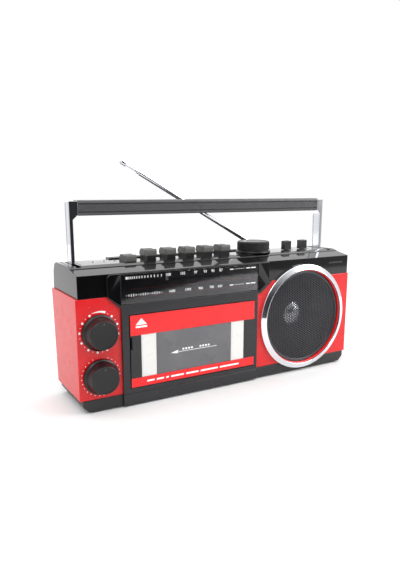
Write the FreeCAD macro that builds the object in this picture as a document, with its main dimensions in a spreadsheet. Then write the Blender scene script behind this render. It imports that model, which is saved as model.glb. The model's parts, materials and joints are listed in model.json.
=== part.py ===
import FreeCAD, Part
import Sketcher
import math
import os
import re

# Portable radio and cassette player with one loudspeaker, a folding handle and a rod aerial.
# Millimetres. Everything is modelled about the housing's own zero: the middle of its flat
# underside, half way through its depth, +X to the right seen from the front, +Y to the back.
# Each finished piece is then moved so that the origin lies under the middle of the whole
# object, on the surface that its rubber feet stand on.

SIZES = {
    # housing
    "length": 312.0,
    "front": -36.0,
    "back_low": 30.5,
    "back_seam": 35.5,
    "wall": 2.5,
    "base_height": 11.0,
    "seam": 101.3,
    "bevel_height": 121.0,
    "bevel_back": -18.5,
    "bevel_end": 124.2,
    "ledge_front": 124.7,
    "ledge_back": -12.5,
    "deck": 126.5,
    "top_inset": 2.0,
    "base_inset": 2.8,
    "base_chamfer": 5.5,
    "foot_height": 1.5,
    "foot_radius": 6.0,
    "foot_x": 125.0,
    "foot_front": -24.0,
    "foot_back": 19.0,
    "frame_shift": 6.75,
    # overlay in the middle of the front
    "panel_left": -116.0,
    "panel_right": 30.2,
    "panel_proud": 2.4,
    "panel_top": 92.8,
    "bezel_top": 120.6,
    "wing_low": 89.6,
    "wing_left": -128.5,
    "wing_right": 44.0,
    "wing_corner": 48.4,
    # dial
    "window_low": 93.2,
    "window_high": 119.2,
    "pointer_x": -68.1,
    "pointer_z": 111.9,
    "pointer_travel": 52.0,
    # cassette door
    "door_left": -108.8,
    "door_right": 25.6,
    "door_low": 16.4,
    "door_high": 83.1,
    "door_proud": 3.4,
    "door_gap": 0.4,
    "strip_low": 25.0,
    "strip_high": 64.6,
    "strip_left": -98.4,
    "strip_right": 13.2,
    "pane_left": -83.4,
    "pane_right": -2.1,
    "hinge_y": -37.4,
    "hinge_z": 18.0,
    "hinge_pin": 0.7,
    "bay_middle": -41.6,
    # loudspeaker
    "speaker_x": 91.0,
    "speaker_z": 58.8,
    "ring_outer": 56.3,
    "ring_inner": 51.0,
    "ring_proud": 5.2,
    "grille_radius": 49.3,
    "speaker_hole": 46.0,
    # controls
    "volume_z": 71.0,
    "bass_z": 31.3,
    "knob_x": -136.1,
    "knob_face": -49.0,
    "shaft_radius": 3.0,
    "fit": 0.05,
    "tuning_x": 51.5,
    "tuning_y": 1.0,
    "key_first": -92.5,
    "key_pitch": 20.8,
    "key_width": 10.2,
    "key_front": -8.0,
    "key_back": 10.0,
    "key_top": 137.0,
    "pause_top": 132.7,
    "key_bottom": 112.0,
    "key_gap": 0.4,
    "function_x": 96.5,
    "band_x": 119.0,
    "switch_travel": 8.0,
    # tape mechanism
    "chassis_front": -18.5,
    "spindle_offset": 21.25,
    "spindle_z": 50.0,
    "capstan_x": -21.1,
    "capstan_z": 30.0,
    "flywheel_radius": 17.0,
    "belt_radius": 15.6,
    "pulley_radius": 4.0,
    "motor_x": -92.0,
    "motor_z": 34.0,
    "motor_radius": 13.0,
    "roller_x": -12.5,
    "roller_z": 22.5,
    # back, battery bay and mains inlet
    "screw_end": 146.0,
    "screw_middle": 60.0,
    "screw_low": 22.0,
    "screw_high": 92.0,
    "screw_recess": 1.8,
    "vent_left": 71.0,
    "vent_right": 111.0,
    "vent_low": 38.0,
    "vent_pitch": 6.0,
    "vent_height": 2.2,
    "bay_left": -55.5,
    "bay_right": 51.5,
    "bay_low": 15.8,
    "bay_high": 73.5,
    "bay_front": 1.5,
    "bay_wall": 1.5,
    "lid_hinge_z": 18.2,
    "lid_pin": 1.0,
    "inlet_x": -118.0,
    "inlet_z": 30.0,
    "inlet_front": 14.0,
    # lamps and handle
    "lamp_first": -124.4,
    "lamp_pitch": 10.5,
    "lamp_y": 7.0,
    "foot_plate_inner": 139.8,
    "foot_plate_outer": 151.2,
    "foot_plate_front": -12.2,
    "foot_plate_back": 21.0,
    "foot_plate_corner": 5.0,
    "groove": 0.7,
    "arm_inner": 143.3,
    "arm_outer": 146.7,
    "arm_front": -0.2,
    "arm_back": 12.3,
    "pivot_z": 114.0,
    "grip_low": 169.0,
    "grip_high": 182.5,
    "grip_end": 138.5,
    # aerial
    "rail_left": -104.0,
    "rail_height": 1.2,
    "aerial_x": 69.7,
    "aerial_y": 24.0,
    "aerial_z": 131.0,
    "aerial_lean": 28.93,
    "aerial_radius": 3.0,
    "aerial_tube_end": 158.1,
    "aerial_middle_end": 161.6,
    "aerial_tip": 180.7,
}

KEY_NAMES = ["pause_key", "stop_eject_key", "fast_forward_key", "rewind_key", "play_key", "record_key"]
ALONG = {
    "x": FreeCAD.Rotation(FreeCAD.Vector(0, 1, 0), 90),
    "y": FreeCAD.Rotation(FreeCAD.Vector(1, 0, 0), -90),
    "z": FreeCAD.Rotation(),
}

document = FreeCAD.newDocument("CassettePlayer")
sheet = document.addObject("Spreadsheet::Sheet", "Sizes")
finished = []


def fill_sheet():
    for row, (alias, size) in enumerate(SIZES.items(), start=1):
        sheet.set(f"A{row}", alias)
        sheet.set(f"B{row}", str(size))
        sheet.setAlias(f"B{row}", alias)
    document.recompute()


def formula(text):
    # turns bare size names into references to the sheet
    return re.sub(r"[a-z][a-z_]*", r"Sizes.\g<0>", str(text))


def value(text):
    return float(sheet.evalExpression(str(text)))


def block(name, across, along, up):
    box = document.addObject("Part::Box", name)
    sides = zip(("Length", "Width", "Height"), "xyz", (across, along, up))
    for side, axis, (low, high) in sides:
        box.setExpression(side, formula(f"({high}) - ({low})"))
        box.setExpression(f".Placement.Base.{axis}", formula(low))
    return box


def rod(name, axis, radius, start, length):
    cylinder = document.addObject("Part::Cylinder", name)
    cylinder.Placement = FreeCAD.Placement(FreeCAD.Vector(), ALONG[axis])
    cylinder.setExpression("Radius", formula(radius))
    cylinder.setExpression("Height", formula(length))
    for letter, place in zip("xyz", start):
        cylinder.setExpression(f".Placement.Base.{letter}", formula(place))
    return cylinder


def join(name, pieces):
    fusion = document.addObject("Part::MultiFuse", name)
    fusion.Shapes = list(pieces)
    fusion.Refine = True
    return fusion


def group(name, pieces):
    compound = document.addObject("Part::Compound", name)
    compound.Links = list(pieces)
    return compound


def cut(name, base, tools):
    removal = document.addObject("Part::Cut", name)
    removal.Base = base
    removal.Tool = tools[0] if len(tools) == 1 else join(name + "_tools", tools)
    removal.Refine = True
    return removal


def sketch_outline(body, role, corners):
    # a closed outline of straight lines, each corner held by two bound distances
    sketch = body.newObject("Sketcher::SketchObject", body.Name + "_sketch")
    plane = next(part for part in body.Origin.OriginFeatures if part.Role == role)
    sketch.AttachmentSupport = [(plane, "")]
    sketch.MapMode = "FlatFace"
    spots = [FreeCAD.Vector(value(u), value(v), 0) for u, v in corners]
    for index, spot in enumerate(spots):
        following = spots[(index + 1) % len(spots)]
        sketch.addGeometry(Part.LineSegment(spot, following), False)
    for index, corner in enumerate(corners):
        after = (index + 1) % len(corners)
        sketch.addConstraint(Sketcher.Constraint("Coincident", index, 2, after, 1))
        for kind, size in zip(("DistanceX", "DistanceY"), corner):
            number = sketch.addConstraint(Sketcher.Constraint(kind, -1, 1, index, 1, value(size)))
            sketch.setExpression(f"Constraints[{number}]", formula(size))
    return sketch


def slab(name, role, corners, low, high):
    # an outline on an origin plane, padded from low to high along that plane's axis
    axis = {"YZ_Plane": "x", "XZ_Plane": "y", "XY_Plane": "z"}[role]
    body = document.addObject("PartDesign::Body", name)
    pad = body.newObject("PartDesign::Pad", name + "_pad")
    body.removeObject(pad)
    sketch = sketch_outline(body, role, corners)
    body.addObject(pad)
    pad.Profile = sketch
    pad.SideType = "Symmetric"
    pad.setExpression("Length", formula(f"({high}) - ({low})"))
    body.setExpression(f".Placement.Base.{axis}", formula(f"(({low}) + ({high})) / 2"))
    return body


def turned(name, axis, centre, profile):
    # a profile of (radius, distance along the axis) turned once round the axis
    body = document.addObject("PartDesign::Body", name)
    sketch = sketch_outline(body, "XZ_Plane", profile)
    spin = body.newObject("PartDesign::Revolution", name + "_spin")
    spin.Profile = sketch
    spin.ReferenceAxis = (sketch, ["V_Axis"])
    spin.Angle = 360.0
    body.Placement = FreeCAD.Placement(FreeCAD.Vector(), ALONG[axis])
    for letter, place in zip("xyz", centre):
        body.setExpression(f".Placement.Base.{letter}", formula(place))
    return body


def finish(piece, label):
    # names a sub-part and moves it from the housing's zero to the part's origin
    piece.Label = label
    for letter, shift in (("y", "frame_shift"), ("z", "foot_height")):
        place = dict(piece.ExpressionEngine).get(f".Placement.Base.{letter}")
        moved = f"{place} + {formula(shift)}" if place else formula(shift)
        piece.setExpression(f".Placement.Base.{letter}", moved)
    finished.append(piece)


# ---------------------------------------------------------------- housing

def back_at(height):
    # depth of the sloping back at a given height
    return f"(back_low + (back_seam - back_low) * (({height}) - base_height) / (seam - base_height))"


def shaft_holes():
    heights = ("volume_z", "bass_z")
    start = [("knob_x", "front - 1", height) for height in heights]
    return [rod("shaft_hole", "y", "shaft_radius + 0.6", place, "wall + 2") for place in start]


def speaker_opening(name):
    return rod(name, "y", "speaker_hole", ("speaker_x", "front - 1", "speaker_z"), "wall + 2")


def make_front_cabinet():
    corners = [("front", "base_height"), ("back_low", "base_height"), ("back_seam", "seam"),
               ("front", "seam")]
    shell = slab("cabinet_shell", "YZ_Plane", corners, "-length / 2", "length / 2")
    inside = ("-length / 2 + wall", "length / 2 - wall")
    hollow = block("cabinet_hollow", inside, ("front + wall", "back_seam + 9"), ("0", "deck"))
    opening = block("cabinet_opening", ("panel_left + 4", "panel_right - 4.2"), ("front - 1", "front + 9"),
                    ("base_height + 3", "seam + 1"))
    tools = [hollow, opening, speaker_opening("cabinet_speaker_hole")] + shaft_holes()
    finish(cut("front_cabinet_piece", shell, tools), "front_cabinet")


def handle_slots():
    slots = []
    for side in (1, -1):
        ends = sorted((f"{side} * (arm_inner - 0.4)", f"{side} * (arm_outer + 0.4)"), key=value)
        slots.append(block("handle_slot", ends, ("bevel_back + 2.5", "arm_back + 14"),
                           ("deck - 9", "deck + 1")))
    return slots


def handle_bosses():
    bosses = []
    for side in (1, -1):
        ends = sorted((f"{side} * (arm_inner - 6.3)", f"{side} * (arm_inner - 0.5)"), key=value)
        solid = block("handle_boss", ends, ("arm_front", "arm_back"), ("pivot_z - 6", "deck - 1"))
        middle = "(arm_front + arm_back) / 2"
        start = (ends[0], middle, "pivot_z")
        bosses.append(cut("bored_boss", solid, [rod("boss_bore", "x", "shaft_radius + fit", start, "5.8")]))
    return bosses


def key_slots():
    slots = []
    for index in range(len(KEY_NAMES)):
        middle = f"key_first + {index} * key_pitch"
        across = (f"{middle} - key_width / 2 - key_gap", f"{middle} + key_width / 2 + key_gap")
        along = ("key_front - key_gap", "key_back + key_gap")
        slots.append(block("key_slot", across, along, ("deck - 4", "deck + 1")))
    return slots


def switch_slots():
    slots = []
    for middle in ("function_x", "band_x"):
        across = (f"{middle} - 2", f"{middle} + 2 + switch_travel")
        slots.append(block("switch_slot", across, ("tuning_y - 1.5", "tuning_y + 1.5"),
                           ("deck - 4", "deck + 1")))
    return slots


def lamp_places():
    return [(f"lamp_first + {index} * lamp_pitch", "lamp_y", "deck - 3.5") for index in range(3)]


def foot_plate_outline(inset):
    # a rectangle round a handle arm's slot, with cut corners, smaller by the inset all round
    near = f"(foot_plate_inner + {inset})"
    far = f"(foot_plate_outer - {inset})"
    front = f"(foot_plate_front + {inset})"
    back = f"(foot_plate_back - {inset})"
    cut_back = f"(foot_plate_corner - {inset} * 0.6)"
    return [(near, f"{front} + {cut_back}"), (f"{near} + {cut_back} * 0.3", f"{front} + {cut_back} * 0.3"),
            (f"{near} + {cut_back}", front), (f"{far} - 1", front), (far, f"{front} + 1"),
            (far, f"{back} - 1"), (f"{far} - 1", back), (f"{near} + 1", back), (near, f"{back} - 1")]


def foot_plate_grooves():
    grooves = []
    for side in (1, -1):
        outlines = []
        for name, inset in (("foot_plate_edge", "0"), ("foot_plate_face", "groove")):
            corners = [(f"{side} * ({across})", along) for across, along in foot_plate_outline(inset)]
            outlines.append(slab(name, "XY_Plane", corners, "deck - groove", "deck + 1"))
        grooves.append(cut("foot_plate_groove", outlines[0], outlines[1:]))
    return grooves


def make_top_cover():
    outside = [("front", "seam"), ("front", "bevel_height"), ("bevel_back", "bevel_end"),
               ("bevel_back", "ledge_front"), ("ledge_back", "deck"),
               ("24", "deck"), ("30", "deck - 2"), ("33.5", "deck - 8.5"), ("back_seam", "seam")]
    inside = [("front + wall", "seam - 1"), ("front + wall", "bevel_height - 2"),
              ("ledge_back", "deck - wall"), ("23", "deck - wall"), ("27.5", "deck - 4"),
              ("31", "deck - 10"), ("back_seam - wall", "seam - 1")]
    shell = slab("cover_shell", "YZ_Plane", outside, "-length / 2 + top_inset", "length / 2 - top_inset")
    hollow = slab("cover_hollow", "YZ_Plane", inside, "-length / 2 + top_inset + wall",
                  "length / 2 - top_inset - wall")
    opening = block("cover_opening", ("panel_left + 4", "panel_right - 4.2"),
                    ("front - 1", "front + wall + 1"),
                    ("seam - 1", "window_high - 1.7"))
    shaft = rod("tuning_shaft_hole", "z", "shaft_radius + 0.6", ("tuning_x", "tuning_y", "deck - 4"), "6")
    lamps = [rod("lamp_hole", "z", "1.3", place, "6") for place in lamp_places()]
    tools = [hollow, opening, speaker_opening("cover_speaker_hole"), shaft]
    tools += lamps + key_slots() + switch_slots() + handle_slots() + foot_plate_grooves()
    open_cover = cut("open_cover", shell, tools)
    rail = block("aerial_rail", ("rail_left", "aerial_x + 12"), ("aerial_y - 4.2", "aerial_y + 5"),
                 ("deck - 1", "deck + rail_height"))
    trough = rod("aerial_trough", "x", "aerial_radius + 1", ("rail_left - 1", "aerial_y", "aerial_z"),
                 "aerial_x - rail_left + 1")
    railed = join("railed_cover", [open_cover, cut("troughed_rail", rail, [trough])] + handle_bosses())
    well = rod("aerial_well", "z", "6.6", ("aerial_x", "aerial_y", "deck - 3.5"), "9")
    spindle_hole = rod("aerial_hole", "z", "3.05", ("aerial_x", "aerial_y", "deck - 8"), "9")
    finish(cut("top_cover_piece", railed, [well, spindle_hole]), "top_cover")


def make_base_tray():
    end = "(length / 2 - base_inset)"
    chamfer = "base_chamfer"
    outside = [(f"-{end}", "base_height"), (f"-{end}", chamfer), (f"{chamfer} - {end}", "0"),
               (f"{end} - {chamfer}", "0"), (end, chamfer), (end, "base_height")]
    inner = f"({end} - wall)"
    corner = "wall + base_chamfer"
    inside = [(f"-{inner}", "base_height + 1"), (f"-{inner}", corner), (f"{chamfer} - {inner}", "wall"),
              (f"{inner} - {chamfer}", "wall"), (inner, corner), (inner, "base_height + 1")]
    shell = slab("tray_shell", "XZ_Plane", outside, "front", "back_low")
    hollow = slab("tray_hollow", "XZ_Plane", inside, "front + wall", "back_low - wall")
    finish(cut("base_tray_piece", shell, [hollow]), "base_tray")


def make_rubber_feet():
    pads = []
    for across in ("-foot_x", "foot_x"):
        for along in ("foot_front", "foot_back"):
            pads.append(rod("foot", "z", "foot_radius", (across, along, "-foot_height"), "foot_height"))
    finish(group("rubber_feet_piece", pads), "rubber_feet")


def screw_places():
    columns = ("-screw_end", "screw_middle", "screw_end")
    return [(across, up) for across in columns for up in ("screw_low", "screw_high")]


def lid_hinge(across):
    # a point on the battery lid's hinge line, just inside the sloping back
    return (across, back_at("lid_hinge_z") + " - 1.1", "lid_hinge_z")


def make_back_cover():
    inner = "length / 2 - wall - 0.2"
    plate_corners = [(f"{back_at('base_height')} - wall", "base_height"), ("back_low", "base_height"),
                     ("back_seam", "seam"), ("back_seam - wall", "seam")]
    plate = slab("back_plate", "YZ_Plane", plate_corners, f"-({inner})", inner)
    box = block("battery_box", ("bay_left - bay_wall", "bay_right + bay_wall"),
                ("bay_front - bay_wall", "back_low - 1"),
                ("bay_low - bay_wall", "bay_high + bay_wall"))
    bay = block("battery_bay", ("bay_left", "bay_right"), ("bay_front", "back_seam + 1"),
                ("bay_low", "bay_high"))
    pivots = rod("lid_pivot_holes", "x", "lid_pin + 0.06", lid_hinge("bay_left - 1.4"),
                 "bay_right - bay_left + 2.8")
    inlet = block("inlet_hole", ("inlet_x - 12", "inlet_x + 12"), ("inlet_front", "back_seam + 1"),
                  ("inlet_z - 8", "inlet_z + 8"))
    tools = [bay, pivots, inlet]
    for across, up in screw_places():
        tools.append(rod("screw_hole", "y", "1.8", (across, "14", up), "30"))
        tools.append(rod("screw_well", "y", "3.5", (across, back_at(up) + " - screw_recess", up), "9"))
    for row in range(8):
        low = f"vent_low + {row} * vent_pitch"
        tools.append(block("vent", ("vent_left", "vent_right"), ("20", "back_seam + 1"),
                           (low, f"{low} + vent_height")))
    finish(cut("back_cover_piece", join("back_with_box", [plate, box]), tools), "back_cover")


def make_battery_door():
    low = "bay_low + 1"
    high = "bay_high - 0.3"
    corners = [(f"{back_at(low)} - 2.2", low), (back_at(low), low), (back_at(high), high),
               (f"{back_at(high)} - 2.2", high)]
    plate = slab("battery_plate", "YZ_Plane", corners, "bay_left + 0.3", "bay_right - 0.3")
    pins = rod("battery_door_pins", "x", "lid_pin", lid_hinge("bay_left - 1.2"),
               "bay_right - bay_left + 2.4")
    finish(join("battery_door_piece", [plate, pins]), "battery_door")


def make_cabinet_screws():
    screws = []
    for across, up in screw_places():
        head_front = back_at(up) + " - screw_recess"
        head = rod("screw_head", "y", "3.1", (across, head_front, up), "1.4")
        slot = block("screw_slot", (f"{across} - 2.2", f"{across} + 2.2"),
                     (f"{head_front} + 0.7", f"{head_front} + 2"),
                     (f"{up} - 0.4", f"{up} + 0.4"))
        shank = rod("screw_shank", "y", "1.5", (across, f"{head_front} - 12", up), "12.5")
        screws.append(join("screw", [cut("slotted_head", head, [slot]), shank]))
    finish(group("cabinet_screws_piece", screws), "cabinet_screws")


# ---------------------------------------------------------------- front overlay and dial

def make_centre_panel():
    proud = ("front - panel_proud", "front")
    plate = block("panel_plate", ("panel_left", "panel_right"), proud, ("0.3", "panel_top"))
    opening = block("door_opening", ("door_left - door_gap", "door_right + door_gap"),
                    ("front - 9", "front + 1"),
                    ("door_low - 1", "door_high + door_gap"))
    groove = block("panel_groove", ("panel_left - 1", "panel_right + 1"),
                   ("front - 9", "front - panel_proud + 0.6"),
                   ("base_height - 0.8", "base_height"))
    pin_holes = rod("hinge_holes", "x", "hinge_pin + fit", ("door_left - 2.4", "hinge_y", "hinge_z"),
                    "door_right - door_left + 4.8")
    finish(cut("centre_panel_piece", plate, [opening, groove, pin_holes]), "centre_panel")


def make_dial_bezel():
    corners = [("panel_left", "wing_low"), ("wing_left", "seam"), ("wing_left", "bezel_top - 2.5"),
               ("wing_left + 2.5", "bezel_top"), ("wing_right", "bezel_top"), ("wing_right", "seam"),
               ("wing_corner", "seam"), ("panel_right + 3.8", "wing_low"), ("panel_right", "wing_low"),
               ("panel_right", "panel_top"), ("panel_left", "panel_top")]
    plate = slab("bezel_plate", "XZ_Plane", corners, "front - panel_proud", "front")
    opening = block("bezel_opening", ("panel_left + 0.1", "panel_right - 0.1"), ("front - 9", "front + 1"),
                    ("window_low - 0.1", "window_high + 0.1"))
    finish(cut("dial_bezel_piece", plate, [opening]), "dial_bezel")


def make_dial():
    across = ("panel_left + 0.2", "panel_right - 0.2")
    up = ("window_low", "window_high")
    window = block("dial_window_piece", across, ("front - panel_proud + 0.2", "front - panel_proud + 1"),
                   up)
    finish(window, "dial_window")
    plate = block("scale_plate", across, ("front - 0.6", "front"), up)
    slot = block("pointer_slot", ("pointer_x - 2", "pointer_x + pointer_travel + 2"),
                 ("front - 2", "front + 1"),
                 ("pointer_z - 1", "pointer_z + 1"))
    finish(cut("dial_scale_piece", plate, [slot]), "dial_scale")
    flag = block("pointer_flag", ("pointer_x - 2.15", "pointer_x + 2.15"), ("front - 1.25", "front - 0.75"),
                 ("pointer_z - 2.5", "pointer_z + 2.5"))
    neck = block("pointer_neck", ("pointer_x - 1", "pointer_x + 1"), ("front - 0.8", "front + 1.5"),
                 ("pointer_z - 0.7", "pointer_z + 0.7"))
    carriage = block("pointer_carriage", ("pointer_x - 5", "pointer_x + 5"), ("front + 0.3", "front + 4"),
                     ("pointer_z - 4", "pointer_z + 4"))
    finish(join("dial_pointer_piece", [flag, neck, carriage]), "dial_pointer")


def make_indicator_lamps():
    lamps = [rod("lamp", "z", "1.25", place, "3.9") for place in lamp_places()]
    finish(group("indicator_lamps_piece", lamps), "indicator_lamps")


# ---------------------------------------------------------------- loudspeaker

def make_speaker():
    centre = ("speaker_x", "0", "speaker_z")
    crest = "front - ring_proud"
    ring = [("ring_inner", "front"), ("ring_inner", "front - 2.2"), ("ring_inner + 1.5", crest),
            ("ring_outer - 1.7", crest), ("ring_outer", "front - 2.6"), ("ring_outer", "front")]
    finish(turned("speaker_ring_piece", "y", centre, ring), "speaker_ring")
    inner = "grille_radius + 0.1"
    outer = "ring_inner - 0.1"
    trim = [(inner, "front - 2.6"), (outer, "front - 2.6"), (outer, "front"), (inner, "front")]
    finish(turned("speaker_trim_piece", "y", centre, trim), "speaker_trim")
    start = ("speaker_x", "front - 1.1", "speaker_z")
    finish(rod("speaker_grille_piece", "y", "grille_radius", start, "1"), "speaker_grille")
    basket = [("46.2", "-33.4"), ("50", "-33.4"), ("50", "-32"), ("48.5", "-32"), ("22", "-13"),
              ("22", "-12"), ("10", "-12"), ("10", "-13.2"), ("21", "-13.2"), ("46.2", "-31.6")]
    finish(turned("speaker_frame_piece", "y", centre, basket), "speaker_frame")
    cone = [("46.1", "-33.2"), ("46.1", "-32.4"), ("41", "-32.6"), ("13", "-19.4"), ("11.6", "-19.4"),
            ("11.6", "-20.2"), ("40.6", "-33.3"), ("43.5", "-34.4")]
    finish(turned("speaker_cone_piece", "y", centre, cone), "speaker_cone")
    dome = [("0", "-25"), ("5", "-24.5"), ("9.5", "-23"), ("12.9", "-20.9"), ("12.2", "-20.5"),
            ("9", "-22.2"),
            ("5", "-23.6"), ("0", "-24.1")]
    finish(turned("dust_cap_piece", "y", centre, dome), "dust_cap")
    finish(rod("speaker_magnet_piece", "y", "24", ("speaker_x", "-11.9", "speaker_z"), "13"),
           "speaker_magnet")


# ---------------------------------------------------------------- controls

def make_front_knobs():
    bore = "shaft_radius + fit"
    depth = "-46.2"
    profile = [("0", "knob_face"), ("12.3", "knob_face"), ("14.4", "front - 4.6"), ("16", "front - 2.6"),
               ("16", "front - 0.3"), (bore, "front - 0.3"), (bore, depth), ("0", depth)]
    for label, height in (("volume_knob", "volume_z"), ("bass_knob", "bass_z")):
        finish(turned(label + "_piece", "y", ("knob_x", "0", height), profile), label)
    controls = []
    for height in ("volume_z", "bass_z"):
        case = rod("control_case", "y", "8.5", ("knob_x", "front + wall", height), "9.5")
        shaft = rod("control_shaft", "y", "shaft_radius", ("knob_x", "-46", height),
                    "46 + front + wall + 1")
        controls.append(join("control", [case, shaft]))
    finish(group("tone_controls_piece", controls), "tone_controls")


def make_tuning():
    bore = "shaft_radius + fit"
    profile = [(bore, "deck + 0.4"), ("18.2", "deck + 0.4"), ("18.2", "deck + 2"), ("16.4", "deck + 2.3"),
               ("16.4", "deck + 3.1"), ("17.2", "deck + 3.3"), ("17.2", "deck + 11.1"), ("16.2",
                                                                                         "deck + 12.1"),
               ("0", "deck + 12.1"), ("0", "deck + 8.6"), (bore, "deck + 8.6")]
    finish(turned("tuning_knob_piece", "z", ("tuning_x", "tuning_y", "0"), profile), "tuning_knob")
    case = block("capacitor_case", ("tuning_x - 12", "tuning_x + 12"), ("tuning_y - 12", "tuning_y + 12"),
                 ("106", "120"))
    shaft = rod("capacitor_shaft", "z", "shaft_radius", ("tuning_x", "tuning_y", "119"), "deck + 8.4 - 119")
    finish(join("tuning_capacitor_piece", [case, shaft]), "tuning_capacitor")


def make_slide_switches():
    cases = []
    for label, middle in (("function_switch_cap", "function_x"), ("band_switch_cap", "band_x")):
        cap = block(label + "_top", (f"{middle} - 4.5", f"{middle} + 4.5"),
                    ("tuning_y - 3.2", "tuning_y + 3.2"),
                    ("deck + 0.4", "deck + 10.2"))
        stem = block(label + "_stem", (f"{middle} - 1.6", f"{middle} + 1.6"),
                     ("tuning_y - 1.1", "tuning_y + 1.1"),
                     ("115", "deck + 1"))
        finish(join(label + "_piece", [cap, stem]), label)
        cases.append(block("switch_case", (f"{middle} - 6", f"{middle} + 14"),
                           ("tuning_y - 5", "tuning_y + 5"),
                           ("106", "114.6")))
    finish(group("slide_switches_piece", cases), "slide_switches")


def make_keys():
    for index, label in enumerate(KEY_NAMES):
        top = "pause_top" if label == "pause_key" else "key_top"
        middle = f"key_first + {index} * key_pitch"
        side = [("key_front", "key_bottom"), ("key_front", f"{top} - 1.5"), ("key_front + 1.2", top),
                ("key_back - 4.5", top), ("key_back - 1.3", f"{top} - 1.3"), ("key_back", f"{top} - 4.5"),
                ("key_back", "key_bottom")]
        key = slab(label + "_piece", "YZ_Plane", side, f"{middle} - key_width / 2",
                   f"{middle} + key_width / 2")
        finish(key, label)


def make_key_frame():
    low = "key_bottom - 6.5"
    along = ("key_front - 4", "key_back + 4")
    left = "key_first - 9.5"
    right = "key_first + 5 * key_pitch + 9.5"
    bed = block("key_bed", (left, right), along, (low, f"{low} + 2"))
    ends = [block("key_bracket", (left, f"{left} + 2"), along, (low, "deck - wall")),
            block("key_bracket", (f"{right} - 2", right), along, (low, "deck - wall"))]
    finish(join("key_frame_piece", [bed] + ends), "key_frame")


# ---------------------------------------------------------------- cassette door

def make_cassette_door():
    across = ("door_left", "door_right")
    skin = "front - door_proud"
    back = "front - 0.9"
    panel = block("door_panel", across, (f"{skin} + 0.6", back), ("door_low", "door_high"))
    cheeks = [block("door_cheek", ends, (f"{skin} + 0.2", f"{skin} + 1"), ("strip_low", "strip_high"))
              for ends in (("door_left", "strip_left"), ("strip_right", "door_right"))]
    opening = block("pane_opening", ("strip_left", "strip_right"), ("front - 9", "front + 1"),
                    ("strip_low", "strip_high"))
    notch = rod("finger_notch", "z", "4", ("door_left - 2.2", "front - door_proud", "52"), "11")
    bores = rod("door_pin_bore", "x", "hinge_pin", ("door_left - 1", "hinge_y", "hinge_z"),
                "door_right - door_left + 2")
    whole = join("door_with_cheeks", [panel] + cheeks)
    finish(cut("cassette_door_piece", whole, [opening, notch, bores]), "cassette_door")
    bars = [block("trim_bar", across, (skin, f"{skin} + 0.6"), up)
            for up in (("strip_high", "door_high"), ("door_low", "strip_low"))]
    finish(group("door_trim_piece", bars), "door_trim")
    strips = [block("strip", ends, (f"{skin} + 0.3", f"{skin} + 1.5"), ("strip_low", "strip_high"))
              for ends in (("strip_left", "pane_left"), ("pane_right", "strip_right"))]
    finish(group("door_strips_piece", strips), "door_strips")
    pane = block("door_window_piece", ("pane_left", "pane_right"), (f"{skin} + 0.4", f"{skin} + 1.6"),
                 ("strip_low", "strip_high"))
    finish(pane, "door_window")
    pins = rod("door_hinge_pin_piece", "x", "hinge_pin", ("door_left - 2.2", "hinge_y", "hinge_z"),
               "door_right - door_left + 4.4")
    finish(pins, "door_hinge_pin")


def make_cassette_holder():
    # two channels that grip the ends of a compact cassette, 100.4 mm wide
    half = "50.6"
    channels = []
    for side in (1, -1):
        def across(near, far):
            return sorted((f"bay_middle + {side} * ({near})", f"bay_middle + {side} * ({far})"), key=value)
        up = ("hinge_z + 0.6", "hinge_z + 61.6")
        web = block("holder_web", across(half, f"{half} + 2"), ("front - 0.9", "front + 14.6"), up)
        flange = block("holder_flange", across(f"{half} - 3.7", f"{half} + 2"),
                       ("front + 13.4", "front + 14.6"), up)
        ledge = block("holder_ledge", across(f"{half} - 8", f"{half} + 2"), ("front - 0.9", "front + 14.6"),
                      ("hinge_z + 0.6", "hinge_z + 1.8"))
        channels.append(join("holder_channel", [web, flange, ledge]))
    finish(group("cassette_holder_piece", channels), "cassette_holder")


# ---------------------------------------------------------------- tape mechanism

def make_tape_chassis():
    plate = block("chassis_plate", ("-119", "31"), ("chassis_front", "chassis_front + 1.5"), ("15", "96"))
    behind = "chassis_front - 1"
    holes = []
    for side in (1, -1):
        centre = (f"bay_middle + {side} * spindle_offset", behind, "spindle_z")
        holes.append(rod("spindle_hole", "y", "2.96", centre, "4"))
    holes.append(rod("capstan_hole", "y", "1.31", ("capstan_x", behind, "capstan_z"), "4"))
    posts = [rod("chassis_post", "y", "2.5", (across, "front + wall", up),
                 "chassis_front - front - wall + 1")
             for across in ("-115.5", "28.5") for up in ("20", "92")]
    axle = rod("roller_axle", "y", "1.2", ("roller_x", "-31.2", "roller_z"), "chassis_front + 31.2 + 1")
    finish(join("tape_chassis_piece", [cut("drilled_plate", plate, holes), axle] + posts), "tape_chassis")


def make_spindles():
    for label, side in (("supply_spindle", -1), ("takeup_spindle", 1)):
        profile = [("0", "-30.3"), ("1.4", "-30.3"), ("2.9", "-28.6"), ("2.9", "-21"), ("9", "-21"),
                   ("9", "-18.8"),
                   ("2.9", "-18.8"), ("2.9", "-15"), ("0", "-15")]
        centre = (f"bay_middle + {side} * spindle_offset", "0", "spindle_z")
        finish(turned(label + "_piece", "y", centre, profile), label)


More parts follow.
